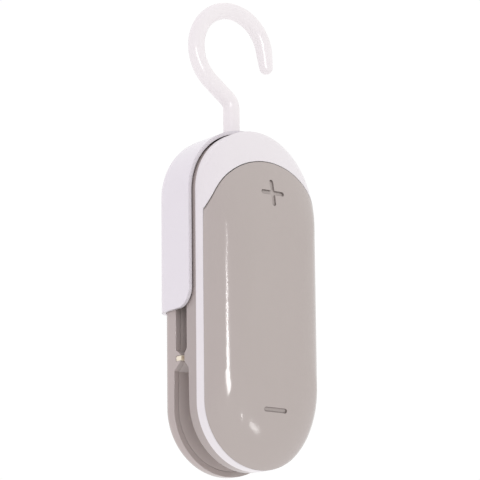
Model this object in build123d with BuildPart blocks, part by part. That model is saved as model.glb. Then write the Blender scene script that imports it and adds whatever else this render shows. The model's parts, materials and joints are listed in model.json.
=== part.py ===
from build123d import *
import math
import os

os.makedirs("parts", exist_ok=True)

# Handheld bag heat sealer. Millimetres, +Z up, the front cover faces -Y.
# The origin is the centre of the rail that the hook hangs on.

# Overall sizes
body_length = 115.0       # bottom tip to top of the jaws
body_width = 44.0         # side to side, both ends are half circles
rail_to_body = 31.3       # rail centre down to the top of the jaws

# Depths of the layers, from the back to the front
back_skin_y = 10.3        # outer face of the rear jaw
rear_face_y = 2.35        # inner face of the rear jaw
front_face_y = -3.45      # inner face of the front jaw
band_back_y = -9.15       # joint of the front jaw and the front shell
band_front_y = -13.4      # joint of the front shell and the front cover
front_skin_y = -24.2      # outer face of the front cover, at its middle
back_round = 4.0          # rounding of the rear jaw's back edge
wall = 1.8                # moulded wall of the jaws and the band
skin_wall = 1.4           # moulded wall of the cover and the crescent

# Domed front: how far its outline draws in between the band and the front face
side_round = 11.5         # quarter ellipse at the sides
top_round = 21.2          # quarter ellipse at the top end
top_lean = 13.7           # extra lean of the top end
low_round = 19.7          # quarter ellipse at the bottom end
low_lean = 9.3            # extra lean of the bottom end
lean_power = 1.15
dome_steps = (0.0, 0.25, 0.45, 0.62, 0.76, 0.87, 0.95, 1.0)

# Sealing ridges and mouth
ridge_height = 37.5       # middle of the ridges above the bottom tip
ridge_crest = 2.4         # flat crest, measured up the body
ridge_rear_rise = 2.5
ridge_front_rise = 1.37
ridge_slope_low = 2.7
ridge_slope_high = 1.7
flare_near = 0.95         # set-back of the inner faces just below the ridges
flare_tip = 1.8           # set-back of the inner faces at the bottom tip
flare_floor = 1.4         # floor thickness of the front jaw below the ridge

# Arch that divides the cover from the shell
arch_rise = 103.0         # top of the arch above the bottom tip
arch_foot = 78.0          # height where the arch meets the body's sides
arch_top_excess = 1.7     # top radius past the body's half width
arch_top_angle = 40.0     # half of the top arc
arch_shoulder_angle = 86.0
arch_seam = 0.3           # gap between cover and shell along the arch
cover_gap = 0.1           # gap between the cover's edge and the shell's deck

# Hinge
pivot_drop = 13.0         # hinge pin below the top of the jaws
pivot_y = -0.55
pin_radius = 1.25
pin_running_gap = 0.05
pin_past_knuckle = 0.1
knuckle_radius = 2.6
knuckle_rim_gap = 0.14    # between the rear knuckles and the rear jaw's rim
knuckle_gap = 0.3         # between rear and front knuckles
rear_knuckle_width = 3.8
front_knuckle_width = 3.9
stop_gap = 0.05
stop_rib = (6.0, 8.2)
stop_rib_height = 2.0
stop_rib_lift = 5.0       # bottom of the stop rib above the pin

# Hood
hood_gap = 0.3
hood_wall = 1.2
hood_back_wall = 1.5
hood_front_y = -7.5
hood_low = 54.0           # lower edge of the hood above the bottom tip
hood_corner = 6.5
hood_back_round = 5.0
hook_boss_radius = 4.0
hook_boss_drop = 2.7      # underside of the hook boss below the top of the jaws
jaw_relief_radius = 4.5
jaw_relief_drop = 9.0

# Hook
rod_radius = 2.85
loop_radius = 14.5
tip_radius = 2.4
tip_angle = 8.0
tip_length = 5.2
loop_end_angle = 233.0
bend_radius = 4.5
hook_seat_gap = 0.1
spigot_radius = 2.0
spigot_running_gap = 0.05
spigot_below_boss = 0.1
washer_radius = 3.4
washer_thickness = 0.6
hook_screw_head_radius = 2.1
hook_screw_head_height = 1.4
hook_screw_shank = 1.0
hook_screw_depth = 6.0
screw_gap = 0.03

# Cells: two AA size
cell_radius = 7.25
cell_length = 50.5
cell_nub_radius = 2.75
cell_nub_height = 1.2
cell_x = 7.4
cell_y = -14.25
cell_low = 31.0           # bottom of the cells above the bottom tip
bay_half_width = 15.0
bay_wall = 1.0
bay_low = 27.2
bay_floor_y = -6.9
bay_floor = 0.8
bay_end_wall = 1.2
bay_end_front_y = -20.5
bay_recess_gap = 0.05     # between the bay and the front jaw's floor
deck = 1.2
contact_thickness = 0.4
contact_half_width = 5.5
contact_gap = 0.02

# Cell bay's side walls and the cover's tongues that grip them
bay_side_front_y = -15.8
bay_skin_gap = 0.4
tongue_low = 34.0
tongue_high = 76.0
tongue_gap = 0.3
tongue_thickness = 1.0
tongue_end_gap = 0.2

# Marks moulded into the cover
mark_length = 9.3
mark_width = 1.5
mark_depth = 0.5
plus_height = 92.0
minus_height = 18.8

# Return spring between the jaws
spring_height = 88.0
spring_radius = 2.2
spring_wire = 0.3
spring_pocket = 2.8
spring_rear_y = 6.6
spring_front_depth = 1.1
spring_end_gap = 0.05

# Heater in the front ridge, pad in the rear ridge
slot_half_length = 17.0
heater_half_length = 16.0
heater_slot = 2.0
heater_side_gap = 0.05
block_flange = 2.4
block_flange_thickness = 0.7
mica_thickness = 0.2
strip_thickness = 0.12
strip_width = 1.2
tape_thickness = 0.13
tape_end_inset = 0.6      # tape stops short of the body's sides
tab_thickness = 0.4
pad_width = 1.8
pad_depth = 2.6
pad_proud = 0.25
pad_end_inset = 0.1

# Switch in the left side channel
switch_x = -18.0
switch_height = 64.0
post_radius = 1.1
post_hole = 1.8
post_tip_y = -6.9
leaf_back_y = -7.0
leaf_thickness = 0.3
leaf_width = 2.8
leaf_root = 81.6
leaf_tip = 61.0
rivet_radius = 0.8
rivet_height = 0.4
rivet_from_tip = 1.0
fixed_contact_gap = 1.05

# Screws and leads
screw_radius = 1.0
screw_head_radius = 1.9
screw_head_height = 1.1
screw_boss_radius = 2.8
hood_screw_spots = ((-12.0, 66.0), (12.0, 66.0))
rear_screw_spots = ((-10.0, 14.0), (10.0, 14.0))
jaw_screw_spots = ((-10.0, 12.0), (10.0, 12.0), (-11.0, 94.0), (11.0, 94.0))
jaw_head_radius = 2.0
jaw_head_height = 1.4
jaw_screw_length = 7.0
lead_radius = 0.6
lead_y = -8.2

# Levels worked out from the sizes above
end_radius = body_width / 2
arch_top_radius = end_radius + arch_top_excess
top_z = -rail_to_body
bottom_z = top_z - body_length
middle_z = top_z - body_length / 2
pivot_z = top_z - pivot_drop
cell_bottom_z = bottom_z + cell_low
cell_top_z = cell_bottom_z + cell_length
bay_low_z = bottom_z + bay_low
bay_high_z = cell_top_z + contact_gap + contact_thickness + contact_gap
ridge_z = bottom_z + ridge_height
rear_crest_y = rear_face_y - ridge_rear_rise
front_crest_y = front_face_y + ridge_front_rise
far = 40.0

# The rear knuckles reach out to the rim where the top end narrows.
knuckle_top_z = pivot_z + knuckle_radius
rim_centre_z = top_z - end_radius
rim_half_width = math.sqrt((end_radius - wall) ** 2 - (knuckle_top_z - rim_centre_z) ** 2)
rear_knuckle_out = rim_half_width - knuckle_rim_gap
rear_knuckle = (rear_knuckle_out - rear_knuckle_width, rear_knuckle_out)
front_knuckle_out = rear_knuckle[0] - knuckle_gap
front_knuckle = (front_knuckle_out - front_knuckle_width, front_knuckle_out)
pin_half_length = rear_knuckle_out + pin_past_knuckle
pad_half_length = end_radius - pad_end_inset
tape_half_length = end_radius - tape_end_inset


def level(height):
    """Height above the bottom tip, as Z."""
    return bottom_z + height


def slab(inset, y_from, y_to, rounding):
    """Body outline between two depths, the edge at y_to rounded."""
    with BuildPart() as block:
        with BuildSketch(Plane.XZ.offset(-y_from)):
            with Locations((0, middle_z)):
                SlotOverall(body_length - 2 * inset, body_width - 2 * inset, rotation=90)
        extrude(amount=y_from - y_to)
        if rounding > 0:
            ends = block.faces().sort_by(Axis.Y)
            end_face = ends[0] if y_to < y_from else ends[-1]
            fillet(end_face.edges(), rounding)
    return block.part


def profile_block(points):
    """Side-view polygon of (y, z) points, carried across the body."""
    with BuildPart() as block:
        with BuildSketch(Plane.YZ):
            with BuildLine():
                Polyline(*points, close=True)
            make_face()
        extrude(amount=far, both=True)
    return block.part


def dome(inset, y_from):
    """Domed front form, shrunk by inset and carried back to y_from."""
    depth = band_front_y - front_skin_y - inset
    with BuildPart() as form:
        for step in dome_steps:
            turn_in = 1 - math.sqrt(1 - step * step)
            lean = step ** lean_power
            half = end_radius - inset - side_round * turn_in
            high = top_z - inset - top_round * turn_in - top_lean * lean
            low = bottom_z + inset + low_round * turn_in + low_lean * lean
            with BuildSketch(Plane.XZ.offset(depth * step - band_front_y)):
                with Locations((0, (high + low) / 2)):
                    SlotOverall(high - low, 2 * half, rotation=90)
        loft()
        if y_from > band_front_y:
            add(slab(inset, y_from, band_front_y, 0))
    return form.part


def arch_block(grow, y_from, y_to):
    """Region under the cover's five-centred arch, grown outwards."""
    sin_top = math.sin(math.radians(arch_top_angle))
    cos_top = math.cos(math.radians(arch_top_angle))
    sin_low = math.sin(math.radians(arch_shoulder_angle))
    cos_low = math.cos(math.radians(arch_shoulder_angle))
    top_centre = arch_rise - arch_top_radius
    # Shoulder and side radii for which the arch ends upright at the body's side.
    across = end_radius - arch_top_radius * sin_top
    down = arch_top_radius * cos_top - (arch_foot - top_centre)
    pair = (sin_low - sin_top) * cos_low - (cos_top - cos_low) * (1 - sin_low)
    shoulder_radius = (across * cos_low - down * (1 - sin_low)) / pair
    side_radius = ((sin_low - sin_top) * down - (cos_top - cos_low) * across) / pair
    reach = arch_top_radius - shoulder_radius
    shoulder_x = reach * sin_top
    shoulder_z = level(top_centre + reach * cos_top)
    side_x = end_radius - side_radius
    foot_z = level(arch_foot)
    side = end_radius + grow
    low = bottom_z - far
    span = arch_shoulder_angle - arch_top_angle
    foot_span = 90 - arch_shoulder_angle
    with BuildPart() as block:
        with BuildSketch(Plane.XZ.offset(-y_from)):
            with BuildLine():
                Line((-side, low), (side, low))
                Line((side, low), (side, foot_z))
                CenterArc((side_x, foot_z), side_radius + grow, 0, foot_span)
                CenterArc((shoulder_x, shoulder_z), shoulder_radius + grow, foot_span, span)
                CenterArc((0, level(top_centre)), arch_top_radius + grow,
                          90 - arch_top_angle, 2 * arch_top_angle)
                CenterArc((-shoulder_x, shoulder_z), shoulder_radius + grow, 90 + arch_top_angle, span)
                CenterArc((-side_x, foot_z), side_radius + grow, 90 + arch_shoulder_angle, foot_span)
                Line((-side, foot_z), (-side, low))
            make_face()
        extrude(amount=y_from - y_to)
    return block.part


def box_between(x_range, y_range, z_range):
    """Plain block from its two limits on each axis."""
    with BuildPart() as block:
        with BuildSketch(Plane.XY.offset(z_range[0])):
            with Locations(((x_range[0] + x_range[1]) / 2, (y_range[0] + y_range[1]) / 2)):
                Rectangle(x_range[1] - x_range[0], y_range[1] - y_range[0])
        extrude(amount=z_range[1] - z_range[0])
    return block.part


def studs(spots, radius, y_from, y_to):
    """Round studs along Y at (x, z) spots."""
    with BuildPart() as block:
        with BuildSketch(Plane.XZ.offset(-y_from)):
            with Locations(*spots):
                Circle(radius)
        extrude(amount=y_from - y_to)
    return block.part


def cross_rod(radius, x_from, x_to):
    """Round rod along X on the hinge line."""
    with BuildPart() as block:
        with BuildSketch(Plane.YZ.offset(x_from)):
            with Locations((pivot_y, pivot_z)):
                Circle(radius)
        extrude(amount=x_to - x_from)
    return block.part


def spots_at(pairs):
    """Screw spots given by x and height, as (x, z)."""
    return [(x, level(height)) for x, height in pairs]


def knuckles(span, face_y):
    """Pair of hinge knuckles with webs back to a jaw face."""
    with BuildPart() as block:
        for x_start in (span[0], -span[1]):
            with BuildSketch(Plane.YZ.offset(x_start)):
                with Locations((pivot_y, pivot_z)):
                    Circle(knuckle_radius)
                with Locations(((pivot_y + face_y) / 2, pivot_z)):
                    Rectangle(abs(face_y - pivot_y), 2 * knuckle_radius)
            extrude(amount=span[1] - span[0])
    return block.part


def countersunk_screws(spots, face_y, head_radius, head_height, shank, length):
    """Flat-head screws driven towards -Y, heads flush with face_y."""
    with BuildPart() as block:
        for spot in spots:
            with BuildSketch(Plane.XZ.offset(-face_y)):
                with Locations(spot):
                    Circle(head_radius)
            with BuildSketch(Plane.XZ.offset(head_height - face_y)):
                with Locations(spot):
                    Circle(shank)
            loft()
            with BuildSketch(Plane.XZ.offset(head_height - face_y)):
                with Locations(spot):
                    Circle(shank)
            extrude(amount=length - head_height)
    return block.part


# Side-view profiles shared by the jaws. The solid lies behind (rear) or in front (front).
crest_low_z = ridge_z - ridge_crest / 2
crest_high_z = ridge_z + ridge_crest / 2
flare_z = crest_low_z - ridge_slope_low
face_z = crest_high_z + ridge_slope_high
high_z = top_z + far
low_z = bottom_z - 1.0

rear_profile = profile_block([
    (far, low_z),
    (rear_face_y + flare_tip, low_z),
    (rear_face_y + flare_near, flare_z),
    (rear_crest_y, crest_low_z),
    (rear_crest_y, crest_high_z),
    (rear_face_y, face_z),
    (rear_face_y, high_z),
    (far, high_z),
])
rear_behind = profile_block([
    (far, low_z),
    (rear_face_y + flare_tip + wall, low_z),
    (rear_face_y + flare_near + wall, flare_z),
    (rear_face_y + wall, face_z),
    (rear_face_y + wall, high_z),
    (far, high_z),
])
front_profile = profile_block([
    (-far, low_z),
    (front_face_y - flare_tip, low_z),
    (front_face_y - flare_near, flare_z),
    (front_crest_y, crest_low_z),
    (front_crest_y, crest_high_z),
    (front_face_y, face_z),
    (front_face_y, high_z),
    (-far, high_z),
])
front_inside = profile_block([
    (-far, low_z),
    (front_face_y - flare_tip - flare_floor, low_z),
    (front_face_y - flare_near - flare_floor, flare_z),
    (front_face_y - wall, flare_z + 0.9),
    (front_face_y - wall, high_z),
    (-far, high_z),
])

# Room in both jaws for the hook's boss, washer and screw.
with BuildPart() as hook_room:
    with BuildSketch(Plane.XY.offset(top_z - jaw_relief_drop)):
        Circle(jaw_relief_radius)
    extrude(amount=jaw_relief_drop + far)
hook_relief = hook_room.part


# ---------------------------------------------------------------- hook
hood_top_z = top_z + hood_gap + hood_wall
stem_low_z = hood_top_z + hook_seat_gap
boss_low_z = top_z - hook_boss_drop
spigot_low_z = boss_low_z - spigot_below_boss
tip_a = math.radians(tip_angle)
tip_start = (loop_radius * math.cos(tip_a), loop_radius * math.sin(tip_a))
tip_dir = (math.sin(tip_a), -math.cos(tip_a))
tip_end = (tip_start[0] + tip_dir[0] * tip_length, tip_start[1] + tip_dir[1] * tip_length)
end_a = math.radians(loop_end_angle)
run_start = (loop_radius * math.cos(end_a), loop_radius * math.sin(end_a))
run_dir = (-math.sin(end_a), math.cos(end_a))
corner_z = run_start[1] - run_dir[1] / run_dir[0] * run_start[0]
turn = loop_end_angle - 180
bend_reach = bend_radius * math.tan(math.radians(turn / 2))
bend_start = (-run_dir[0] * bend_reach, corner_z - run_dir[1] * bend_reach)
bend_centre = (-bend_radius, corner_z - bend_reach)

with BuildPart() as hook:
    with BuildLine(Plane.XZ):
        CenterArc((0, 0), loop_radius, tip_angle, loop_end_angle - tip_angle)
        Line(run_start, bend_start)
        CenterArc(bend_centre, bend_radius, turn, -turn)
        Line((0, bend_centre[1]), (0, stem_low_z))
    with BuildSketch(Plane(origin=(0, 0, stem_low_z), z_dir=(0, 0, 1))):
        Circle(rod_radius)
    sweep()
    with BuildSketch(Plane(origin=(tip_start[0], 0, tip_start[1]), z_dir=(tip_dir[0], 0, tip_dir[1]))):
        Circle(rod_radius)
    with BuildSketch(Plane(origin=(tip_end[0], 0, tip_end[1]), z_dir=(tip_dir[0], 0, tip_dir[1]))):
        Circle(tip_radius)
    loft()
    with Locations((tip_end[0], 0, tip_end[1])):
        Sphere(tip_radius)
    with BuildSketch(Plane.XY.offset(spigot_low_z)):
        Circle(spigot_radius)
    extrude(amount=stem_low_z - spigot_low_z + 0.5)
    with BuildSketch(Plane.XY.offset(spigot_low_z)):
        Circle(hook_screw_shank + screw_gap)
    extrude(amount=hook_screw_depth, mode=Mode.SUBTRACT)
hook.part.label = "hook"
export_step(hook.part, "parts/hook.step")

# Washer under the hood's boss, clamped to the spigot's end.
with BuildPart() as hook_washer:
    with BuildSketch(Plane.XY.offset(spigot_low_z - washer_thickness)):
        Circle(washer_radius)
        Circle(hook_screw_shank + screw_gap, mode=Mode.SUBTRACT)
    extrude(amount=washer_thickness)
hook_washer.part.label = "hook_washer"
export_step(hook_washer.part, "parts/hook_washer.step")

# Screw up into the spigot, domed head below the washer.
with BuildPart() as hook_screw:
    with BuildSketch(Plane.XY.offset(spigot_low_z - washer_thickness - hook_screw_head_height)):
        Circle(hook_screw_head_radius)
    extrude(amount=hook_screw_head_height)
    fillet(hook_screw.faces().sort_by(Axis.Z)[0].edges(), 0.6)
    with BuildSketch(Plane.XY.offset(spigot_low_z - washer_thickness)):
        Circle(hook_screw_shank)
    extrude(amount=washer_thickness + hook_screw_depth - 0.3)
hook_screw.part.label = "hook_screw"
export_step(hook_screw.part, "parts/hook_screw.step")


# ---------------------------------------------------------------- hood
# One white moulding over the back, the sides and the top of both jaws.
hood_back_y = back_skin_y + hood_back_wall
hood_grow = hood_gap + hood_wall
hood_outer = slab(-hood_grow, hood_front_y, hood_back_y, hood_back_round)
hood_inner = slab(-hood_gap, hood_front_y - 5, back_skin_y, back_round)
hood_below = box_between((-far, far), (-far, far), (bottom_z - far, level(hood_low)))
with BuildPart() as hinge_hood:
    add(hood_outer)
    add(hood_inner, mode=Mode.SUBTRACT)
    add(hood_below, mode=Mode.SUBTRACT)
    corner_edges = hinge_hood.edges().filter_by(Axis.X).filter_by_position(
        Axis.Y, hood_front_y - 0.1, hood_front_y + 0.1
    ).filter_by_position(Axis.Z, level(hood_low) - 0.1, level(hood_low) + 0.1)
    fillet(corner_edges, hood_corner)
    with BuildSketch(Plane.XY.offset(boss_low_z)):
        Circle(hook_boss_radius)
    extrude(amount=hood_top_z - 0.6 - boss_low_z)
    with BuildSketch(Plane.XY.offset(boss_low_z - 1)):
        Circle(spigot_radius + spigot_running_gap)
    extrude(amount=hood_top_z - boss_low_z + 4, mode=Mode.SUBTRACT)
    add(countersunk_screws(
        spots_at(hood_screw_spots), hood_back_y, screw_head_radius + screw_gap,
        screw_head_height, screw_radius + screw_gap, 6.0,
    ), mode=Mode.SUBTRACT)
hinge_hood.part.label = "hinge_hood"
export_step(hinge_hood.part, "parts/hinge_hood.step")


# ---------------------------------------------------------------- rear jaw
# Outer shell: a tray open towards the mouth, its rim carries the ridge at both sides.
rear_blank = slab(0, rear_crest_y - 2, back_skin_y, back_round)
rear_hollow = slab(wall, rear_crest_y - 4, back_skin_y - wall, back_round - wall)
rear_spots = spots_at(rear_screw_spots)
hood_spots = spots_at(hood_screw_spots)
pad_slot = box_between(
    (-far, far), (rear_crest_y - 1, rear_crest_y + pad_depth),
    (ridge_z - pad_width / 2, ridge_z + pad_width / 2),
)
rear_holes = countersunk_screws(
    rear_spots, back_skin_y, screw_head_radius + screw_gap, screw_head_height,
    screw_radius + screw_gap, 6.0,
)
hood_holes = studs(hood_spots, screw_radius + screw_gap, back_skin_y + 1, back_skin_y - wall - 1)
with BuildPart() as rear_jaw:
    add(rear_blank)
    add(rear_profile, mode=Mode.INTERSECT)
    add(rear_hollow, mode=Mode.SUBTRACT)
    add(pad_slot, mode=Mode.SUBTRACT)
    add(rear_holes, mode=Mode.SUBTRACT)
    add(hood_holes, mode=Mode.SUBTRACT)
    add(hook_relief, mode=Mode.SUBTRACT)
rear_jaw.part.label = "rear_jaw"
export_step(rear_jaw.part, "parts/rear_jaw.step")

# Inner plate: ridge with pad slot, screw bosses, spring cup, hinge knuckles, switch post.
plate_gap = 0.1
spring_spot = [(0, level(spring_height))]
switch_spot = [(switch_x, level(switch_height))]
boss_end_y = back_skin_y - wall
plate_blank = slab(wall + plate_gap, rear_crest_y - 2, back_skin_y, 0)
rear_pillars = studs(rear_spots + hood_spots, screw_boss_radius, boss_end_y, rear_face_y)
with BuildPart() as rear_boss_group:
    add(rear_pillars)
    add(rear_profile, mode=Mode.INTERSECT)
spring_cup = studs(spring_spot, spring_pocket + 1.2, boss_end_y, rear_face_y + 0.5)
spring_bore = studs(spring_spot, spring_pocket, spring_rear_y, rear_face_y - 1)
rear_pilots = studs(rear_spots + hood_spots, screw_radius + screw_gap, boss_end_y + 1, rear_face_y + 1.2)
switch_post = studs(switch_spot, post_radius, rear_face_y + 0.5, post_tip_y)
rear_lugs = knuckles(rear_knuckle, rear_face_y + 0.5)
rear_lug_bore = cross_rod(pin_radius, -far, far)
with BuildPart() as rear_plate:
    add(plate_blank)
    add(rear_profile, mode=Mode.INTERSECT)
    add(rear_behind, mode=Mode.SUBTRACT)
    add(rear_boss_group.part)
    add(spring_cup)
    add(spring_bore, mode=Mode.SUBTRACT)
    add(rear_pilots, mode=Mode.SUBTRACT)
    add(pad_slot, mode=Mode.SUBTRACT)
    add(switch_post)
    add(hook_relief, mode=Mode.SUBTRACT)
    add(rear_lugs)
    add(rear_lug_bore, mode=Mode.SUBTRACT)
rear_plate.part.label = "rear_plate"
export_step(rear_plate.part, "parts/rear_plate.step")

# Pad: soft strip pressed into the rear ridge, proud of its crest.
with BuildPart() as silicone_pad:
    with BuildSketch(Plane.YZ.offset(-pad_half_length)):
        with Locations((rear_crest_y + (pad_depth - pad_proud) / 2, ridge_z)):
            Rectangle(pad_depth + pad_proud, pad_width)
    extrude(amount=2 * pad_half_length)
silicone_pad.part.label = "silicone_pad"
export_step(silicone_pad.part, "parts/silicone_pad.step")

# Hinge pin: steel rod, tight in the rear knuckles, running in the front ones.
with BuildPart() as hinge_pin:
    add(cross_rod(pin_radius, -pin_half_length, pin_half_length))
    chamfer(hinge_pin.edges(), 0.2)
hinge_pin.part.label = "hinge_pin"
export_step(hinge_pin.part, "parts/hinge_pin.step")

# Screws from the back: the upper pair also holds the hood.
with BuildPart() as hood_screws:
    add(countersunk_screws(
        hood_spots, hood_back_y, screw_head_radius, screw_head_height, screw_radius,
        hood_back_wall + back_skin_y - rear_face_y - 1.5,
    ))
hood_screws.part.label = "hood_screws"
export_step(hood_screws.part, "parts/hood_screws.step")

with BuildPart() as rear_screws:
    add(countersunk_screws(
        rear_spots, back_skin_y, screw_head_radius, screw_head_height, screw_radius,
        back_skin_y - rear_face_y - flare_tip - 0.6,
    ))
rear_screws.part.label = "rear_screws"
export_step(rear_screws.part, "parts/rear_screws.step")

# Return spring: open coil seated in the rear cup and a shallow front pocket.
spring_front_y = front_face_y - spring_front_depth
spring_start_y = spring_front_y + spring_wire + spring_end_gap
spring_span = spring_rear_y - spring_wire - spring_end_gap - spring_start_y
with BuildPart() as return_spring:
    with BuildLine():
        coil = Helix(spring_span / 6, spring_span, spring_radius,
                     center=(0, spring_start_y, level(spring_height)), direction=(0, 1, 0))
    with BuildSketch(Plane(origin=coil @ 0, z_dir=coil % 0)):
        Circle(spring_wire)
    sweep()
return_spring.part.label = "return_spring"
export_step(return_spring.part, "parts/return_spring.step")


# ---------------------------------------------------------------- front jaw
# Taupe tray behind the band: ridge, knuckles, stop ribs, screw pillars, heater slot.
jaw_inset = 0.25
deck_back_y = band_front_y + deck
jaw_spots = spots_at(jaw_screw_spots)
front_blank = slab(jaw_inset, front_crest_y + 2, band_back_y, 0)
front_hollow_slab = slab(jaw_inset + wall, front_crest_y + 2, band_back_y - 3, 0)
with BuildPart() as jaw_hollow:
    add(front_hollow_slab)
    add(front_inside, mode=Mode.INTERSECT)
front_hollow = jaw_hollow.part
bay_recess = box_between(
    (-bay_half_width - bay_wall - bay_recess_gap, bay_half_width + bay_wall + bay_recess_gap),
    (-far, bay_floor_y + bay_floor + bay_recess_gap),
    (bay_low_z - bay_end_wall - bay_recess_gap, bay_high_z + bay_end_wall + bay_recess_gap),
)
pillar_studs = studs(jaw_spots, screw_boss_radius, front_face_y, deck_back_y)
with BuildPart() as front_pillars:
    add(pillar_studs)
    add(front_profile, mode=Mode.INTERSECT)
front_pilots = studs(jaw_spots, screw_radius + screw_gap, front_face_y - flare_tip - 0.6, deck_back_y - 1)
front_lugs = knuckles(front_knuckle, front_face_y - 0.5)
front_lug_bore = cross_rod(pin_radius + pin_running_gap, -front_knuckle[1] - 0.3, front_knuckle[1] + 0.3)
front_spring_pocket = studs(spring_spot, spring_pocket, front_face_y + 1, spring_front_y)
switch_hole = studs(switch_spot, post_hole, front_face_y + 1, front_face_y - wall - 1)
heater_hole = box_between(
    (-slot_half_length, slot_half_length), (front_face_y - wall - 1, front_crest_y + 1),
    (ridge_z - heater_slot / 2, ridge_z + heater_slot / 2),
)
stop_low_z = pivot_z + stop_rib_lift
stop_root_y = front_face_y - 0.5
stop_tip_y = rear_face_y - stop_gap
with BuildPart() as stops:
    for x_low in (stop_rib[0], -stop_rib[1]):
        with BuildSketch(Plane.YZ.offset(x_low)):
            with Locations(((stop_root_y + stop_tip_y) / 2, stop_low_z + stop_rib_height / 2)):
                Rectangle(stop_tip_y - stop_root_y, stop_rib_height)
        extrude(amount=stop_rib[1] - stop_rib[0])
stop_ribs = stops.part
with BuildPart() as front_jaw:
    add(front_blank)
    add(front_profile, mode=Mode.INTERSECT)
    add(front_hollow, mode=Mode.SUBTRACT)
    add(bay_recess, mode=Mode.SUBTRACT)
    add(front_pillars.part)
    add(front_pilots, mode=Mode.SUBTRACT)
    add(hook_relief, mode=Mode.SUBTRACT)
    add(front_lugs)
    add(stop_ribs)
    add(front_lug_bore, mode=Mode.SUBTRACT)
    add(front_spring_pocket, mode=Mode.SUBTRACT)
    add(switch_hole, mode=Mode.SUBTRACT)
    add(heater_hole, mode=Mode.SUBTRACT)
front_jaw.part.label = "front_jaw"
export_step(front_jaw.part, "parts/front_jaw.step")


# ---------------------------------------------------------------- heater
# Carrier with a flange behind the jaw's floor and a stem in the ridge's slot.
tape_back_y = front_crest_y
strip_back_y = tape_back_y - strip_thickness
mica_back_y = strip_back_y - mica_thickness
floor_y = front_face_y - wall
stem_half = heater_slot / 2 - heater_side_gap
with BuildPart() as heater_block:
    add(box_between((-heater_half_length, heater_half_length), (floor_y, mica_back_y),
                    (ridge_z - stem_half, ridge_z + stem_half)))
    add(box_between((-heater_half_length, heater_half_length), (floor_y - block_flange_thickness, floor_y),
                    (ridge_z - block_flange, ridge_z + block_flange)))
heater_block.part.label = "heater_block"
export_step(heater_block.part, "parts/heater_block.step")

with BuildPart() as mica_sheet:
    add(box_between((-heater_half_length, heater_half_length), (mica_back_y, strip_back_y),
                    (ridge_z - stem_half, ridge_z + stem_half)))
mica_sheet.part.label = "mica_sheet"
export_step(mica_sheet.part, "parts/mica_sheet.step")

# Resistance ribbon, its ends folded down past the carrier to the tabs.
leg_x = heater_half_length + 0.2
tab_low_y = floor_y - 3.3
with BuildPart() as heater_strip:
    add(box_between((-leg_x, leg_x), (strip_back_y, tape_back_y),
                    (ridge_z - strip_width / 2, ridge_z + strip_width / 2)))
    for side in (-1, 1):
        leg = sorted((side * leg_x, side * (leg_x + strip_thickness)))
        add(box_between(leg, (tab_low_y, tape_back_y),
                        (ridge_z - strip_width / 2, ridge_z + strip_width / 2)))
heater_strip.part.label = "heater_strip"
export_step(heater_strip.part, "parts/heater_strip.step")

with BuildPart() as heater_tabs:
    for side in (-1, 1):
        tab = sorted((side * (leg_x + strip_thickness), side * (leg_x + strip_thickness + tab_thickness)))
        add(box_between(tab, (tab_low_y, floor_y), (ridge_z - 1.5, ridge_z + 1.5)))
heater_tabs.part.label = "heater_tabs"
export_step(heater_tabs.part, "parts/heater_tabs.step")

# Non-stick tape along the crest, over the ribbon.
with BuildPart() as ptfe_cover:
    add(box_between((-tape_half_length, tape_half_length), (tape_back_y, tape_back_y + tape_thickness),
                    (crest_low_z, crest_high_z)))
ptfe_cover.part.label = "ptfe_cover"
export_step(ptfe_cover.part, "parts/ptfe_cover.step")


# ---------------------------------------------------------------- front shell
# White band, deck, cell bay and the crescent above the cover's arch.
bay_outer = bay_half_width + bay_wall
bay_back_y = bay_floor_y + bay_floor
tab_x = cell_x
tab_half = 1.6
tab_y = (-8.4, -8.0)
band_outer = slab(0, band_back_y, band_front_y, 0)
band_inner = slab(wall, band_back_y + 1, deck_back_y, 0)
bay_limit = dome(skin_wall + bay_skin_gap, bay_back_y)
bay_room = box_between((-bay_half_width, bay_half_width), (-far, bay_floor_y), (bay_low_z, bay_high_z))
with BuildPart() as bay_walls:
    add(box_between((-bay_outer, bay_outer), (bay_side_front_y, bay_back_y),
                    (bay_low_z - bay_end_wall, bay_high_z + bay_end_wall)))
    for end_span in ((bay_low_z - bay_end_wall, bay_low_z), (bay_high_z, bay_high_z + bay_end_wall)):
        add(box_between((-bay_outer, bay_outer), (bay_end_front_y, deck_back_y), end_span))
    add(bay_limit, mode=Mode.INTERSECT)
skin_outer = dome(0, band_front_y)
skin_inner = dome(skin_wall, band_front_y + 1)
arch_opening = arch_block(arch_seam, band_front_y, front_skin_y - 5)
arch_wall_outer = arch_block(arch_seam + skin_wall, band_front_y, front_skin_y - 5)
ledge_outer = dome(skin_wall + 0.3, band_front_y)
ledge_inner = dome(skin_wall + 1.3, band_front_y + 1)
arch_ledge_limit = arch_block(arch_seam + 0.2, band_front_y, front_skin_y - 5)
arch_ledge_inner = arch_block(-1.2, band_front_y + 1, front_skin_y - 5)
with BuildPart() as crescent_skin:
    add(skin_outer)
    add(skin_inner, mode=Mode.SUBTRACT)
    add(arch_opening, mode=Mode.SUBTRACT)
with BuildPart() as crescent_wall:
    add(skin_outer)
    add(arch_wall_outer, mode=Mode.INTERSECT)
    add(arch_opening, mode=Mode.SUBTRACT)
with BuildPart() as crescent_ledge:
    add(ledge_outer)
    add(ledge_inner, mode=Mode.SUBTRACT)
    add(arch_ledge_limit, mode=Mode.INTERSECT)
    add(arch_ledge_inner, mode=Mode.SUBTRACT)
deck_holes = studs(jaw_spots, screw_radius + screw_gap, deck_back_y + 1, band_front_y - 1)
top_slot = box_between((-tab_x - tab_half - 0.2, -tab_x + tab_half + 0.2), (tab_y[0] - 0.1, tab_y[1] + 0.1),
                       (bay_high_z - 1, bay_high_z + 3))
low_slot = box_between((tab_x - tab_half - 0.2, tab_x + tab_half + 0.2), (tab_y[0] - 0.1, tab_y[1] + 0.1),
                       (bay_low_z - 3, bay_low_z + 1))
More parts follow.
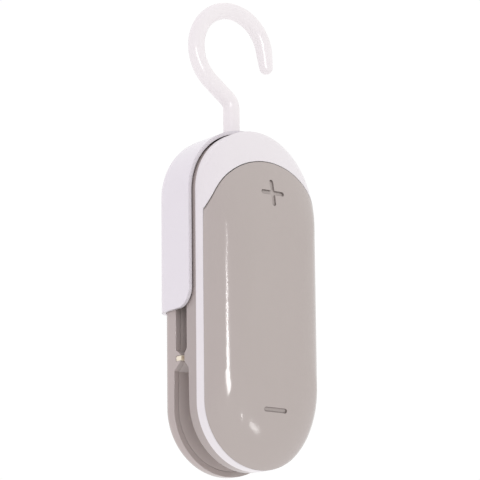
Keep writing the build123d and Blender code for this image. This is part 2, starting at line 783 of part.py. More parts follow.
with BuildPart() as front_shell:
    add(band_outer)
    add(band_inner, mode=Mode.SUBTRACT)
    add(bay_walls.part)
    add(bay_room, mode=Mode.SUBTRACT)
    add(crescent_skin.part)
    add(crescent_wall.part)
    add(crescent_ledge.part)
    add(deck_holes, mode=Mode.SUBTRACT)
    add(top_slot, mode=Mode.SUBTRACT)
    add(low_slot, mode=Mode.SUBTRACT)
front_shell.part.label = "front_shell"
export_step(front_shell.part, "parts/front_shell.step")

# Screws through the deck into the front jaw's pillars, domed heads.
with BuildPart() as jaw_screws:
    add(studs(jaw_spots, jaw_head_radius, band_front_y, band_front_y - jaw_head_height))
    head_rims = jaw_screws.faces().filter_by(Axis.Y).group_by(Axis.Y)[0].edges()
    fillet(head_rims, 0.6)
    add(studs(jaw_spots, screw_radius, band_front_y - 0.2, band_front_y + jaw_screw_length - deck))
jaw_screws.part.label = "jaw_screws"
export_step(jaw_screws.part, "parts/jaw_screws.step")


# ---------------------------------------------------------------- front cover
# Taupe cover under the arch: its tongues grip the bay's walls, marks sunk in the face.
cover_back_y = band_front_y - cover_gap
arch_limit = arch_block(0, cover_back_y, front_skin_y - 5)
tongue_spans = (
    (bay_outer + tongue_gap, bay_outer + tongue_gap + tongue_thickness),
    (-bay_outer - tongue_gap - tongue_thickness, -bay_outer - tongue_gap),
)
with BuildPart() as cover_tongues:
    for tongue_span in tongue_spans:
        add(box_between(tongue_span, (front_skin_y, band_front_y - tongue_end_gap),
                        (level(tongue_low), level(tongue_high))))
    add(dome(skin_wall / 2, band_front_y), mode=Mode.INTERSECT)
with BuildPart() as cover_marks:
    with BuildSketch(Plane.XZ.offset(-cover_back_y)):
        with Locations((0, level(plus_height))):
            SlotOverall(mark_length, mark_width)
            SlotOverall(mark_length, mark_width, rotation=90)
        with Locations((0, level(minus_height))):
            SlotOverall(mark_length, mark_width)
    extrude(amount=cover_back_y - front_skin_y + 1)
    add(dome(mark_depth, band_front_y), mode=Mode.SUBTRACT)
with BuildPart() as front_cover:
    add(skin_outer)
    add(arch_limit, mode=Mode.INTERSECT)
    add(skin_inner, mode=Mode.SUBTRACT)
    add(cover_tongues.part)
    add(cover_marks.part, mode=Mode.SUBTRACT)
front_cover.part.label = "front_cover"
export_step(front_cover.part, "parts/front_cover.step")


# ---------------------------------------------------------------- cells and contacts
can_top_z = cell_top_z - cell_nub_height
for cell_name, cell_side in (("cell_left", -1), ("cell_right", 1)):
    with BuildPart() as cell:
        with BuildSketch(Plane.XY.offset(cell_bottom_z)):
            with Locations((cell_side * cell_x, cell_y)):
                Circle(cell_radius)
        extrude(amount=can_top_z - cell_bottom_z)
        fillet(cell.edges().filter_by(GeomType.CIRCLE), 0.5)
    cell.part.label = cell_name
    export_step(cell.part, "parts/" + cell_name + ".step")
    with BuildPart() as cap:
        with BuildSketch(Plane.XY.offset(can_top_z)):
            with Locations((cell_side * cell_x, cell_y)):
                Circle(cell_nub_radius)
        extrude(amount=cell_nub_height)
        fillet(cap.faces().sort_by(Axis.Z)[-1].edges(), 0.3)
    cap.part.label = cell_name + "_cap"
    export_step(cap.part, "parts/" + cell_name + "_cap.step")

# Contact plates lie on the bay's end walls.
plate_y = (cell_y - contact_half_width, cell_y + contact_half_width)
top_plate_z = (cell_top_z + contact_gap, cell_top_z + contact_gap + contact_thickness)
low_plate_z = (bay_low_z + contact_gap, bay_low_z + contact_gap + contact_thickness)
strap_y = (bay_floor_y - 0.1 - contact_thickness, bay_floor_y - 0.1)
with BuildPart() as supply_contact:
    add(box_between((-cell_x - contact_half_width, -cell_x + contact_half_width),
                    (plate_y[0], tab_y[1]), top_plate_z))
    add(box_between((-tab_x - tab_half, -tab_x + tab_half), tab_y, (top_plate_z[0], bay_high_z + 4.5)))
supply_contact.part.label = "supply_contact"
export_step(supply_contact.part, "parts/supply_contact.step")

with BuildPart() as return_contact:
    add(box_between((cell_x - contact_half_width, cell_x + contact_half_width),
                    (plate_y[0], tab_y[1]), low_plate_z))
    add(box_between((tab_x - tab_half, tab_x + tab_half), tab_y, (bay_low_z - 3.7, low_plate_z[1])))
return_contact.part.label = "return_contact"
export_step(return_contact.part, "parts/return_contact.step")

# Link from the right cell's top to the left cell's bottom, strap between the cells.
with BuildPart() as link_contact:
    add(box_between((-1.4, cell_x + contact_half_width), (plate_y[0], strap_y[1]), top_plate_z))
    add(box_between((-1.4, 1.4), strap_y, (low_plate_z[0], top_plate_z[1])))
    add(box_between((-cell_x - contact_half_width, 1.4), (plate_y[0], strap_y[1]), low_plate_z))
link_contact.part.label = "link_contact"
export_step(link_contact.part, "parts/link_contact.step")

# Coil springs on the lower plates.
cell_spring_wire = 0.25
cell_spring_low_z = low_plate_z[1] + cell_spring_wire + 0.03
cell_spring_span = cell_bottom_z - 0.03 - cell_spring_wire - cell_spring_low_z
with BuildPart() as cell_springs:
    for coil_side in (-1, 1):
        with BuildLine():
            cell_coil = Helix(cell_spring_span / 3, cell_spring_span, 3.2,
                              center=(coil_side * cell_x, cell_y, cell_spring_low_z))
        with BuildSketch(Plane(origin=cell_coil @ 0, z_dir=cell_coil % 0)):
            Circle(cell_spring_wire)
        sweep()
cell_springs.part.label = "cell_springs"
export_step(cell_springs.part, "parts/cell_springs.step")


# ---------------------------------------------------------------- switch
# The leaf hangs from its anchor; the rear plate's post bends it to the fixed contact.
leaf_front_y = leaf_back_y - leaf_thickness
channel = (switch_x - leaf_width / 2, switch_x + leaf_width / 2)
with BuildPart() as moving_leaf:
    add(box_between(channel, (leaf_front_y, leaf_back_y), (level(leaf_tip), level(leaf_root))))
    add(studs([(switch_x, level(leaf_tip + rivet_from_tip))], rivet_radius,
              leaf_front_y + 0.1, leaf_front_y - rivet_height))
moving_leaf.part.label = "moving_leaf"
export_step(moving_leaf.part, "parts/moving_leaf.step")

with BuildPart() as leaf_anchor:
    add(box_between(channel, (leaf_front_y - 1.6, floor_y), (level(leaf_root + 0.1), level(leaf_root + 3.6))))
leaf_anchor.part.label = "leaf_anchor"
export_step(leaf_anchor.part, "parts/leaf_anchor.step")

arm_back_y = leaf_front_y - rivet_height - fixed_contact_gap
with BuildPart() as fixed_contact:
    add(box_between(channel, (arm_back_y - contact_thickness, floor_y),
                    (level(leaf_tip - 5), level(leaf_tip - 3.8))))
    add(box_between(channel, (arm_back_y - contact_thickness, arm_back_y),
                    (level(leaf_tip - 5), level(leaf_tip + 2.5))))
fixed_contact.part.label = "fixed_contact"
export_step(fixed_contact.part, "parts/fixed_contact.step")


# ---------------------------------------------------------------- leads
# Insulated wires in the side channels.
wire_x = leg_x + strip_thickness + tab_thickness + lead_radius + 0.08
supply_top_z = bay_high_z + 4.5
anchor_top_z = level(leaf_root + 3.6)
lead_paths = (
    ("lead_supply", [(-tab_x, supply_top_z + 0.05), (-tab_x, supply_top_z + 3), (switch_x, supply_top_z + 3),
                     (switch_x, anchor_top_z + 0.05)]),
    ("lead_heater", [(-wire_x, level(leaf_tip - 5) - 0.05), (-wire_x, level(leaf_tip - 12)),
                     (-wire_x, ridge_z - 1)]),
    ("lead_return", [(wire_x, ridge_z + 1), (wire_x, bay_low_z - 6.7), (tab_x, bay_low_z - 6.7),
                     (tab_x, bay_low_z - 3.75)]),
)
for lead_name, lead_points in lead_paths:
    start = lead_points[0]
    first = 1 if lead_points[1][1] > start[1] else -1
    with BuildPart() as lead:
        with BuildLine(Plane.XZ.offset(-lead_y)):
            if lead_name == "lead_heater":
                Line(lead_points[0], lead_points[-1])
            else:
                FilletPolyline(*lead_points, radius=1.4)
        with BuildSketch(Plane(origin=(start[0], lead_y, start[1]), z_dir=(0, 0, first))):
            Circle(lead_radius)
        sweep()
    lead.part.label = lead_name
    export_step(lead.part, "parts/" + lead_name + ".step")
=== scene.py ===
import json
import math

import bmesh
import bpy
from mathutils import Matrix, Vector


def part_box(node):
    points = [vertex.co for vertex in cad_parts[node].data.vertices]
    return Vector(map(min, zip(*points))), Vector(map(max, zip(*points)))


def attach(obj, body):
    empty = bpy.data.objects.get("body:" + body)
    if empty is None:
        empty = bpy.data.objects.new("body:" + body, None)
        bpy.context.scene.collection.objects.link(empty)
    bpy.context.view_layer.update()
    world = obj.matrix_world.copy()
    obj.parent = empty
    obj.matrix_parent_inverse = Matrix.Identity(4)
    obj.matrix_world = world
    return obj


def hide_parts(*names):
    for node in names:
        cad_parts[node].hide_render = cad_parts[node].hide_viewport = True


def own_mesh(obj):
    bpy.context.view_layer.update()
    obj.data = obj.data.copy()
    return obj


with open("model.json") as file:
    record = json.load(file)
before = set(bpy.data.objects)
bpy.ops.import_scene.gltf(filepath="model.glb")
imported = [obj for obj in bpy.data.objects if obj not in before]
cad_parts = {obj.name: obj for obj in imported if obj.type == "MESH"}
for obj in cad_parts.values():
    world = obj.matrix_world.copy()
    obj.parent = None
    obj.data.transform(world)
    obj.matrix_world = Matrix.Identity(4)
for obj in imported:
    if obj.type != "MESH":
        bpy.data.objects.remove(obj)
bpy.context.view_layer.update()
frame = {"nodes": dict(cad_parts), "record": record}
scene = bpy.context.scene
nodes = frame["nodes"]

# ---------------------------------------------------------------------------
# The viewpoint: from the front left and a little below, as the sealer hangs.
# A long lens a metre away keeps the body's sides nearly parallel.
# ---------------------------------------------------------------------------
shell_low, shell_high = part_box("front_shell")
body_centre = Vector((0.0, -0.0006, (shell_low.z + shell_high.z) / 2))
turn = math.radians(36.55)
rise = math.radians(12.88)
tilt = math.radians(0.594)
view_dir = Vector((math.sin(turn) * math.cos(rise), math.cos(turn) * math.cos(rise), math.sin(rise)))
right_dir = Vector((math.cos(turn), -math.sin(turn), 0.0))
up_dir = Vector((-math.sin(turn) * math.sin(rise), -math.cos(turn) * math.sin(rise), math.cos(rise)))
aim_right = 0.002154
aim_up = 0.022025
target = body_centre + aim_right * right_dir + aim_up * up_dir
camera_right = right_dir * math.cos(tilt) - up_dir * math.sin(tilt)
camera_up = right_dir * math.sin(tilt) + up_dir * math.cos(tilt)
camera_data = bpy.data.cameras.new("camera")
camera_data.sensor_width = 36.0
camera_data.lens = 223.2
camera_data.clip_start = 0.05
camera_data.clip_end = 20.0
camera = bpy.data.objects.new("camera", camera_data)
camera_turn = Matrix((camera_right, camera_up, -view_dir)).transposed()
camera.matrix_world = Matrix.Translation(target - view_dir) @ camera_turn.to_4x4()
scene.collection.objects.link(camera)
scene.camera = camera


# ---------------------------------------------------------------------------
# The studio: a pale floor below the hanging sealer and white walls all round,
# a little cooler on the left, brighter overhead, so that the plastic is even.
# ---------------------------------------------------------------------------
class Val:
    """A node socket that adds its own Math nodes when it is used in sums."""

    def __init__(self, nodes, socket):
        self.nodes = nodes
        self.socket = socket

    def math(self, operation, other, swapped=False):
        values = [other, self] if swapped else [self, other]
        return self.nodes.node("ShaderNodeMath", {"operation": operation}, {0: values[0], 1: values[1]})

    def __add__(self, other):
        return self.math("ADD", other)

    def __radd__(self, other):
        return self.math("ADD", other, True)

    def __sub__(self, other):
        return self.math("SUBTRACT", other)

    def __rsub__(self, other):
        return self.math("SUBTRACT", other, True)

    def __mul__(self, other):
        return self.math("MULTIPLY", other)

    def __rmul__(self, other):
        return self.math("MULTIPLY", other, True)

    def __gt__(self, other):
        return self.math("GREATER_THAN", other)

    def __lt__(self, other):
        return self.math("LESS_THAN", other)


class NodeSet:
    """A node tree and the few calls that add nodes to it."""

    def __init__(self, tree):
        self.tree = tree

    def node(self, kind, settings, values, output=0):
        made = self.tree.nodes.new(kind)
        for key, value in settings.items():
            if key == "stops":
                ramp = made.color_ramp
                while len(ramp.elements) < len(value):
                    ramp.elements.new(0.5)
                for element, (place, colour) in zip(ramp.elements, value):
                    element.position = place
                    element.color = colour
            else:
                setattr(made, key, value)
        for key, value in values.items():
            self.put(made.inputs[key], value)
        return Val(self, made.outputs[output])

    def put(self, socket, value):
        if isinstance(value, Val):
            self.tree.links.new(value.socket, socket)
        else:
            socket.default_value = value

    def blend(self, factor, first, second):
        made = self.tree.nodes.new("ShaderNodeMix")
        made.data_type = "RGBA"
        for index, value in ((0, factor), (6, first), (7, second)):
            self.put(made.inputs[index], value)
        return Val(self, made.outputs[2])

    def ramp(self, value, *stops):
        return self.node("ShaderNodeValToRGB", {"stops": stops}, {"Fac": value})

    def along(self, axis):
        """One of the Object coordinates, in metres: 0 is X, 1 is Y, 2 is Z."""
        return self.node("ShaderNodeSeparateXYZ", {}, {"Vector": self.place()}, axis)

    def place(self, stretch=None):
        here = self.node("ShaderNodeTexCoord", {}, {}, "Object")
        if stretch is None:
            return here
        return self.node("ShaderNodeVectorMath", {"operation": "MULTIPLY"}, {0: here, 1: stretch})

    def noise(self, scale, detail=3.0, roughness=0.55, stretch=None):
        return self.node("ShaderNodeTexNoise", {},
                         {"Vector": self.place(stretch), "Scale": scale, "Detail": detail,
                          "Roughness": roughness})


class Finish(NodeSet):
    """One material: its Principled shader and what feeds it."""

    def __init__(self, name, **fixed):
        self.material = bpy.data.materials.new(name)
        self.material.use_nodes = True
        super().__init__(self.material.node_tree)
        self.tree.nodes.clear()
        self.shader = self.tree.nodes.new("ShaderNodeBsdfPrincipled")
        output = self.tree.nodes.new("ShaderNodeOutputMaterial")
        self.tree.links.new(self.shader.outputs[0], output.inputs["Surface"])
        for key, value in fixed.items():
            self.shader.inputs[key.replace("_", " ")].default_value = value

    def feed(self, socket, value):
        self.tree.links.new(value.socket, self.shader.inputs[socket])

    def bump(self, height, strength, distance, edge=0.0):
        """Relief from height, over edges that are rounded by the radius edge."""
        values = {"Height": height, "Strength": strength, "Distance": distance}
        if edge > 0:
            values["Normal"] = self.node("ShaderNodeBevel", {"samples": 6}, {"Radius": edge})
        self.feed("Normal", self.node("ShaderNodeBump", {}, values))


def linear(red, green, blue):
    """A screen colour, 0 to 255, as the shader's linear colour."""
    def one(v):
        v /= 255.0
        return v / 12.92 if v <= 0.04045 else ((v + 0.055) / 1.055) ** 2.4
    return (one(red), one(green), one(blue), 1.0)


floor_drop = 0.30
floor_reach = 6.0
floor_finish = Finish("studio_floor", Roughness=0.8)
floor_finish.feed("Base Color", floor_finish.blend(
    floor_finish.noise(3.0), linear(250, 250, 250), linear(255, 255, 255)))
floor_build = bmesh.new()
bmesh.ops.create_grid(floor_build, x_segments=2, y_segments=2, size=floor_reach)
bmesh.ops.translate(floor_build, verts=floor_build.verts, vec=(0, 0, shell_low.z - floor_drop))
floor_mesh = bpy.data.meshes.new("floor")
floor_build.to_mesh(floor_mesh)
floor_build.free()
floor = bpy.data.objects.new("floor", floor_mesh)
floor_mesh.materials.append(floor_finish.material)
scene.collection.objects.link(floor)

world = bpy.data.worlds.new("studio")
scene.world = world
world.use_nodes = True
walls = NodeSet(world.node_tree)
toward = walls.node("ShaderNodeTexCoord", {}, {}, "Generated")
sideways = walls.node("ShaderNodeSeparateXYZ", {}, {"Vector": toward}, 0)
upward = walls.node("ShaderNodeSeparateXYZ", {}, {"Vector": toward}, 2)
behind = walls.node("ShaderNodeVectorMath", {"operation": "DOT_PRODUCT"}, {0: toward, 1: view_dir}, "Value")
side_tint = walls.ramp(0.5 + 0.5 * sideways, (0.05, (0.94, 0.90, 0.95, 1.0)), (0.6, (1.0, 0.99, 0.99, 1.0)))
level_tint = walls.ramp(0.5 + 0.5 * upward, (0.35, (0.90, 0.90, 0.90, 1.0)), (0.9, (1.05, 1.05, 1.05, 1.0)))
room = walls.node("ShaderNodeVectorMath", {"operation": "MULTIPLY"}, {0: side_tint, 1: level_tint})
back_wall = walls.ramp(behind, (0.75, (0, 0, 0, 1)), (0.88, (1, 1, 1, 1)))
backdrop = world.node_tree.nodes["Background"]
walls.put(backdrop.inputs["Color"], walls.blend(back_wall, room, (1.02, 1.02, 1.02, 1.0)))
scene.view_settings.view_transform = "Standard"


def glint(name, first, last, width, power):
    """Narrow soft lamp between two places, seen only as a shine on the gloss."""
    first, last = Vector(first), Vector(last)
    middle = (first + last) / 2
    data = bpy.data.lights.new(name, "AREA")
    data.shape = "RECTANGLE"
    data.size = width
    data.size_y = (last - first).length
    data.energy = power
    made = bpy.data.objects.new(name, data)
    out = (middle - body_centre).normalized()
    length = (first - last).normalized()
    across = length.cross(out).normalized()
    turned = Matrix((across, out.cross(across), out)).transposed()
    made.matrix_world = Matrix.Translation(middle) @ turned.to_4x4()
    made.visible_diffuse = False
    scene.collection.objects.link(made)


# Three windows of light: a tall one on the left and two low, small ones.
glint("tall_window", (-0.74, -0.69, 0.10), (-0.36, -0.94, -0.32), 0.13, 5.0)
glint("low_window", (0.150, -0.545, -0.390), (0.240, -0.500, -0.405), 0.04, 0.11)
glint("lamp_spot", (0.045, -0.56, -0.37), (0.053, -0.56, -0.375), 0.010, 0.03)

# ---------------------------------------------------------------------------
# Hook: white ABS rod, moulded in one with its spigot, polished. It turns in
# the hood, held from inside by a washer and a small screw.
# ---------------------------------------------------------------------------
def white_plastic(name, dark, light, edge):
    """Polished white ABS with faint flow marks and rounded mould edges."""
    finish = Finish(name, Roughness=0.22, IOR=1.5)
    finish.feed("Base Color", finish.blend(finish.noise(45.0), dark, light))
    finish.feed("Roughness", 0.17 + 0.1 * finish.noise(700.0))
    finish.bump(finish.noise(1300.0, 2.0), 0.03, 0.0002, edge)
    return finish


def dress(finish, *names):
    """Gives CAD nodes a finish in place of their plain one."""
    for name in names:
        nodes[name].data.materials.clear()
        nodes[name].data.materials.append(finish.material)


dress(white_plastic("hook_white", linear(241, 237, 238), linear(247, 243, 243), 0.0), "hook")

zinc = Finish("zinc_plate", Metallic=1.0, Roughness=0.3)
zinc.feed("Base Color", zinc.blend(zinc.noise(400.0), linear(176, 174, 170), linear(202, 201, 198)))
zinc.feed("Roughness", 0.22 + 0.22 * zinc.noise(1800.0))
zinc.bump(zinc.noise(3000.0, 4.0), 0.12, 0.00005, 0.00008)
dress(zinc, "hook_washer", "hook_screw")

# ---------------------------------------------------------------------------
# Hinge hood: white ABS cap over the back, the sides and the top of both jaws,
# screwed to the rear jaw. Glossy outside, with softly rounded rims.
# ---------------------------------------------------------------------------
dress(white_plastic("hood_white", linear(230, 226, 231), linear(234, 230, 235), 0.00035), "hinge_hood")

# ---------------------------------------------------------------------------
# Front shell: white ABS. Its band runs round the body and its crescent closes
# the top above the cover; screwed to the front jaw from under the cover.
# ---------------------------------------------------------------------------
dress(white_plastic("shell_white", linear(233, 229, 231), linear(237, 233, 235), 0.00025), "front_shell")

# ---------------------------------------------------------------------------
# Jaws and front cover: taupe ABS from polished moulds, with faint flow lines
# along the length. The cover's plus and minus are sunk in the mould.
# ---------------------------------------------------------------------------
def taupe_plastic(name, dark, light, edge, recess_shade=0.0):
    """Glossy warm grey-brown ABS, faintly streaked; painted shade darkens its recesses and corners."""
    finish = Finish(name, Roughness=0.12, IOR=1.5)
    streaks = finish.noise(60.0, 4.0, 0.6, (1.0, 1.0, 0.25))
    colour = finish.blend(streaks, dark, light)
    if recess_shade > 0:
        # Painted shade: ambient occlusion pulls the colour towards a dark taupe in the sunk marks and tight
        # corners.
        openness = finish.node("ShaderNodeAmbientOcclusion", {"samples": 8, "only_local": True},
                               {"Distance": 0.0009}, "AO")
        colour = finish.blend(recess_shade * (1 - openness), colour, linear(96, 86, 82))
    finish.feed("Base Color", colour)
    finish.feed("Roughness", 0.08 + 0.08 * finish.noise(800.0))
    finish.bump(finish.noise(1500.0, 2.0), 0.035, 0.0002, edge)
    return finish


# The cover's copy takes painted shade in the grooves of its sunk plus and minus.
dress(taupe_plastic("cover_taupe", linear(182, 173, 168), linear(187, 178, 173), 0.0002, 1.2), "front_cover")
dress(taupe_plastic("jaw_taupe", linear(174, 164, 160), linear(179, 169, 166), 0.0002), "front_jaw")
dress(taupe_plastic("rear_taupe", linear(182, 171, 167), linear(188, 177, 173), 0.0002), "rear_jaw")
# The rear plate's copy of the taupe is lighter than the jaws' as painted light, so the shaded gap between
# the jaws reads brighter.
dress(taupe_plastic("plate_taupe_painted_light", linear(198, 188, 184), linear(205, 195, 191), 0.0), "rear_plate")

# ---------------------------------------------------------------------------
# Sealing pad: a strip of cream silicone with rounded edges, pressed into the
# rear ridge. Matt, and browned along the line where the hot ribbon meets it.
# ---------------------------------------------------------------------------
crease_angle = math.radians(38)


def new_piece(name, build, finish, body, slot, *replaced):
    """Mesh object from a bmesh, with its material and body; the slot argument is not used."""
    mesh = bpy.data.meshes.new(name)
    build.to_mesh(mesh)
    build.free()
    mesh.materials.append(finish.material)
    for polygon in mesh.polygons:
        polygon.use_smooth = True
    mesh.set_sharp_from_angle(angle=crease_angle)
    piece = bpy.data.objects.new(name, mesh)
    scene.collection.objects.link(piece)
    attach(piece, body)
    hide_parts(*replaced)
    return piece


pad_low, pad_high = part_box("silicone_pad")
pad_middle = (pad_low + pad_high) / 2
pad_edge = 0.0003
scorch_width = 0.0006
silicone = Finish("cream_silicone", Roughness=0.55, IOR=1.41)
face = silicone.along(1) < pad_low.y + 0.0001
line = (silicone.along(2) > pad_middle.z - scorch_width) * (silicone.along(2) < pad_middle.z + scorch_width)
cream = silicone.blend(silicone.noise(250.0), linear(238, 228, 206), linear(247, 239, 220))
scorch = 0.7 * face * line * silicone.noise(500.0)
silicone.feed("Base Color", silicone.blend(scorch, cream, linear(176, 140, 92)))
silicone.feed("Roughness", 0.45 + 0.25 * silicone.noise(900.0))
silicone.bump(silicone.noise(2500.0, 4.0), 0.25, 0.00008)
pad = bmesh.new()
bmesh.ops.create_cube(pad, size=1.0)
bmesh.ops.scale(pad, vec=pad_high - pad_low, verts=pad.verts)
bmesh.ops.translate(pad, vec=pad_middle, verts=pad.verts)
bmesh.ops.bevel(pad, geom=pad.edges[:], offset=pad_edge, offset_type="OFFSET", affect="EDGES", segments=4,
                profile=0.5, material=-1)
new_piece("pad_strip", pad, silicone, "base", "pad_silicone", "silicone_pad")

# ---------------------------------------------------------------------------
# Non-stick tape over the front ridge: brown woven glass cloth filled with
# resin, so that its weave shows through a smooth waxy skin.
# ---------------------------------------------------------------------------
thread_pitch = 0.0005
tape = Finish("glass_cloth_tape", Roughness=0.35, IOR=1.38)
warp = tape.node("ShaderNodeMath", {"operation": "SINE"}, {0: 2 * math.pi / thread_pitch * tape.along(0)})
weft = tape.node("ShaderNodeMath", {"operation": "SINE"}, {0: 2 * math.pi / thread_pitch * tape.along(2)})
weave = 0.5 + 0.25 * (warp + weft)
tape.feed("Base Color", tape.blend(weave, linear(168, 132, 92), linear(206, 172, 128)))
tape.feed("Roughness", 0.45 - 0.15 * weave)
tape.bump(weave, 0.5, 0.00005)
dress(tape, "ptfe_cover")

# ---------------------------------------------------------------------------
# Heater: phenolic carrier in the front ridge, a mica sheet on it, a flat
# resistance ribbon over the mica and two brass tabs at its folded ends.
# ---------------------------------------------------------------------------
phenolic = Finish("phenolic_board", Roughness=0.6)
layers = phenolic.noise(300.0, 5.0, 0.6, (0.3, 4.0, 0.3))
phenolic.feed("Base Color", phenolic.blend(layers, linear(74, 42, 28), linear(112, 70, 44)))
phenolic.feed("Roughness", 0.45 + 0.25 * layers)
phenolic.bump(layers, 0.2, 0.0001)
dress(phenolic, "heater_block")

mica = Finish("mica_board", Roughness=0.4, IOR=1.58)
flakes = mica.node("ShaderNodeTexVoronoi", {}, {"Vector": mica.place(), "Scale": 900.0})
mica.feed("Base Color", mica.blend(flakes, linear(176, 158, 124), linear(220, 206, 176)))
mica.feed("Roughness", 0.25 + 0.4 * flakes)
mica.bump(flakes, 0.2, 0.00005)
dress(mica, "mica_sheet")


def rolled_strip(name, dark, light, scale, stretch=(1.0, 1.0, 0.15)):
    """Bare sheet metal or wire, with marks drawn out along its length."""
    finish = Finish(name, Metallic=1.0, Roughness=0.3)
    marks = finish.noise(scale, 4.0, 0.6, stretch)
    finish.feed("Base Color", finish.blend(marks, dark, light))
    finish.feed("Roughness", 0.2 + 0.25 * marks)
    finish.bump(marks, 0.12, 0.00004, 0.00006)
    return finish


ribbon = rolled_strip("resistance_ribbon", linear(150, 142, 132), linear(186, 176, 160), 300.0,
                      (0.2, 4.0, 4.0))
dress(ribbon, "heater_strip")
dress(rolled_strip("switch_brass", linear(188, 152, 84), linear(222, 188, 118), 900.0),
      "heater_tabs", "leaf_anchor", "moving_leaf", "fixed_contact")

# ---------------------------------------------------------------------------
# Cell contacts, cell springs and hinge pin: nickel-plated strip, spring wire
# wound cold, and a drawn steel pin held in the rear plate's knuckles.
# ---------------------------------------------------------------------------
dress(rolled_strip("nickel_strip", linear(186, 182, 174), linear(216, 212, 204), 700.0),
      "supply_contact", "link_contact", "return_contact")
spring_wire = rolled_strip("spring_wire", linear(158, 158, 161), linear(198, 198, 201), 1200.0, None)
dress(spring_wire, "cell_springs")
drawn_pin = rolled_strip("drawn_pin", linear(168, 168, 170), linear(200, 200, 202), 900.0,
                         (0.05, 1.0, 1.0))
dress(drawn_pin, "hinge_pin")

# ---------------------------------------------------------------------------
# Return spring: an open coil of spring wire lying front to back between the
# jaws. The real spring shortens towards its rear seat as the front jaw is pressed; here the coil is built at
# rest length and the shortening worked out below is not applied.
# ---------------------------------------------------------------------------
coil_low, coil_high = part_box("return_spring")
coil_middle = (coil_low + coil_high) / 2
wire_radius = 0.0003
coil_radius = (coil_high.x - coil_low.x) / 2 - wire_radius
coil_turns = 6
steps_per_turn = 32
coil_span = coil_high.y - coil_low.y - 2 * wire_radius
coil = bmesh.new()
bmesh.ops.create_circle(coil, segments=10, radius=wire_radius, matrix=Matrix.Translation(
    (coil_middle.x + coil_radius, coil_low.y + wire_radius, coil_middle.z)))
coil_steps = coil_turns * steps_per_turn
bmesh.ops.spin(coil, geom=coil.verts[:] + coil.edges[:], cent=(coil_middle.x, 0.0, coil_middle.z),
               axis=(0, 1, 0), dvec=(0, coil_span / coil_steps, 0), angle=2 * math.pi * coil_turns,
               steps=coil_steps, use_merge=False, use_duplicate=False)
bmesh.ops.holes_fill(coil, edges=[edge for edge in coil.edges if edge.is_boundary])
bmesh.ops.recalc_face_normals(coil, faces=coil.faces)
return_coil = new_piece("return_coil", coil, spring_wire, "base", "spring_steel", "return_spring")
press = [joint for joint in frame["record"]["behaviour"]["joints"] if joint["name"] == "press_hinge"][0]
lever = press["pos_m"][2] - coil_low.z
closing = lever * math.tan(math.radians(press["range_deg"][1]))
1 - closing / (coil_high.y - coil_low.y)
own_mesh(return_coil)

# ---------------------------------------------------------------------------
# Two AA cells: drawn steel cans in a plain printed sleeve that is shrunk over
# both rims, with a paper ring round the nickel-plated cap at the plus end.
# ---------------------------------------------------------------------------
dress(rolled_strip("cap_nickel", linear(196, 194, 190), linear(224, 222, 218), 500.0, None),
      "cell_left_cap", "cell_right_cap")

sleeve_grip = 0.0006
rim_inset = 0.0011
ring_drop = 0.00025
plain_band = 0.011
for side in ("left", "right"):
    cell_low, cell_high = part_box("cell_" + side)
    cell_middle = (cell_low + cell_high) / 2
    cell_radius = (cell_high.x - cell_low.x) / 2
    sleeve = Finish("cell_sleeve_" + side, Roughness=0.3)
    height = sleeve.along(2)
    slate = sleeve.blend(sleeve.noise(90.0), linear(46, 74, 96), linear(54, 84, 108))
    printed = sleeve.blend(height > cell_high.z - plain_band, slate, linear(206, 208, 210))
    metal = height < cell_low.z + ring_drop / 2
    paper = height > cell_high.z - ring_drop * 1.5
    sleeve.feed("Base Color", sleeve.blend(paper, sleeve.blend(metal, printed, linear(200, 200, 202)),
                                           linear(226, 222, 214)))
    sleeve.feed("Metallic", 1.0 * metal)
    sleeve.feed("Roughness", 0.25 + 0.15 * sleeve.noise(600.0))
    sleeve.bump(sleeve.noise(900.0), 0.05, 0.0001)
    outline = (
        (0.0, 0.0), (cell_radius - 2 * rim_inset, 0.0), (cell_radius - 1.8 * rim_inset, ring_drop),
        (cell_radius - rim_inset, ring_drop), (cell_radius - 0.6 * rim_inset, 0.0),
        (cell_radius - 0.2 * rim_inset, 0.2 * sleeve_grip), (cell_radius, sleeve_grip))
    can = bmesh.new()
    halves = [(reach, cell_low.z + up) for reach, up in outline]
    halves += [(reach, cell_high.z - up) for reach, up in reversed(outline)]
    points = [can.verts.new((cell_middle.x + reach, cell_middle.y, level)) for reach, level in halves]
    for first, second in zip(points, points[1:]):
        can.edges.new((first, second))
    bmesh.ops.spin(can, geom=can.verts[:] + can.edges[:], cent=(cell_middle.x, cell_middle.y, 0.0),
                   axis=(0, 0, 1), angle=2 * math.pi, steps=72, use_merge=True, use_duplicate=False)
    bmesh.ops.remove_doubles(can, verts=can.verts, dist=1e-6)
    bmesh.ops.recalc_face_normals(can, faces=can.faces)
    new_piece("cell_can_" + side, can, sleeve, "press_jaw", "cell_jacket", "cell_" + side)

# ---------------------------------------------------------------------------
# Screws: zinc-plated, with a cross recess. Flat heads hold the hood and the
# rear jaw from behind; pan heads under the cover hold the front shell.
# ---------------------------------------------------------------------------
arm = 0.00105
web = 0.00026
recess = 0.0008
pitch = 0.0007
shank = 0.00099
flat_head = ((0.0019, 0.0), (0.00189, 0.00006), (shank, 0.0011))
pan_head = ((0.0015, 0.0), (0.0019, 0.00025), (0.00199, 0.0006), (0.00199, 0.0012), (shank, 0.0012))


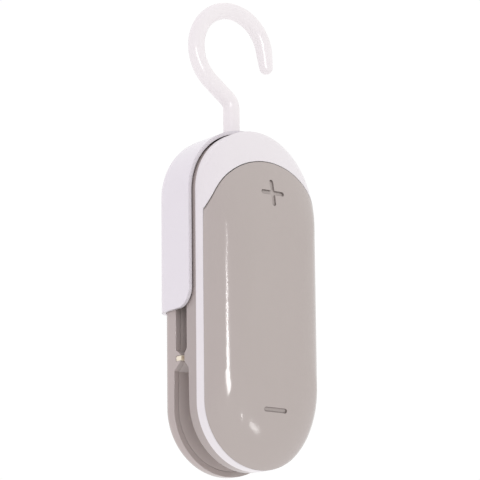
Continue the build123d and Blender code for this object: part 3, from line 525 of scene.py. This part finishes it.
def cross_screws(name, body, node, head, heads_to, spots):
    """Replaces a CAD node of screws with threaded ones; spots are X and Z."""
    low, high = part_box(node)
    length = high.y - low.y
    turns = int((length - head[-1][1]) / pitch) - 1
    outline = list(head)
    for turn_number in range(turns):
        drop = head[-1][1] + turn_number * pitch
        outline += [(0.8 * shank, drop + 0.15 * pitch), (shank, drop + 0.6 * pitch)]
    outline.append((0.5 * shank, length))
    group = bmesh.new()
    for spot_x, spot_z in spots:
        one = bmesh.new()
        bmesh.ops.create_circle(one, segments=36, radius=outline[0][0])
        rim = one.edges[:]
        corners = []
        arm_corners = (Vector((arm, -web, 0)), Vector((arm, web, 0)), Vector((web, web, 0)))
        for quarter in range(4):
            turned = Matrix.Rotation(quarter * math.pi / 2, 3, "Z")
            corners += [one.verts.new(turned @ corner) for corner in arm_corners]
        cross = [one.edges.new((corners[index - 1], corners[index])) for index in range(len(corners))]
        bmesh.ops.triangle_fill(one, edges=rim + cross, use_beauty=True, use_dissolve=False,
                                normal=(0, 0, 1))
        sunk = bmesh.ops.extrude_edge_only(one, edges=cross)["geom"]
        floor_corners = [item for item in sunk if isinstance(item, bmesh.types.BMVert)]
        bmesh.ops.scale(one, vec=(0.6, 0.6, 1.0), verts=floor_corners)
        bmesh.ops.translate(one, vec=(0, 0, -recess), verts=floor_corners)
        bmesh.ops.edgeloop_fill(one, edges=[item for item in sunk if isinstance(item, bmesh.types.BMEdge)
                                            and item.is_boundary])
        for (before, _), (radius, drop) in zip(outline, outline[1:]):
            grown = bmesh.ops.extrude_edge_only(one, edges=rim)["geom"]
            ring = [item for item in grown if isinstance(item, bmesh.types.BMVert)]
            rim = [item for item in grown if isinstance(item, bmesh.types.BMEdge) and item.is_boundary]
            bmesh.ops.scale(one, vec=(radius / before, radius / before, 1.0), verts=ring)
            bmesh.ops.translate(one, vec=(0, 0, -drop - ring[0].co.z), verts=ring)
        bmesh.ops.edgeloop_fill(one, edges=rim)
        head_y = high.y if heads_to > 0 else low.y
        facing = Matrix.Rotation(-heads_to * math.pi / 2, 4, "X")
        place = Matrix.Translation((spot_x, head_y, spot_z)) @ facing
        bmesh.ops.transform(one, matrix=place, verts=one.verts)
        bmesh.ops.recalc_face_normals(one, faces=one.faces)
        single = bpy.data.meshes.new("single_screw")
        one.to_mesh(single)
        one.free()
        group.from_mesh(single)
        bpy.data.meshes.remove(single)
    new_piece(name, group, zinc, body, "steel_screw", node)


for name, node in (("hood_cross_screws", "hood_screws"), ("rear_cross_screws", "rear_screws")):
    low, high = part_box(node)
    level = (low.z + high.z) / 2
    aside = high.x - flat_head[0][0]
    cross_screws(name, "base", node, flat_head, 1, ((-aside, level), (aside, level)))
low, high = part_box("jaw_screws")
pan_radius = pan_head[2][0]
pair_step = 0.001
upper_aside = high.x - pan_radius
lower_aside = upper_aside - pair_step
cross_screws("jaw_cross_screws", "press_jaw", "jaw_screws", pan_head, -1, (
    (-lower_aside, low.z + pan_radius), (lower_aside, low.z + pan_radius),
    (-upper_aside, high.z - pan_radius), (upper_aside, high.z - pan_radius)))

# ---------------------------------------------------------------------------
# Leads: stranded wire in soft PVC, red from the plus contact and the switch,
# black back to the minus contact.
# ---------------------------------------------------------------------------
for colour, dark, light, leads in (
        ("red", linear(150, 22, 20), linear(186, 34, 30), ("lead_supply", "lead_heater")),
        ("black", linear(24, 24, 25), linear(44, 44, 46), ("lead_return",))):
    pvc = Finish("pvc_" + colour, Roughness=0.45)
    pvc.feed("Base Color", pvc.blend(pvc.noise(300.0), dark, light))
    pvc.feed("Roughness", 0.35 + 0.25 * pvc.noise(900.0))
    pvc.bump(pvc.noise(1500.0), 0.1, 0.00005)
    dress(pvc, *leads)
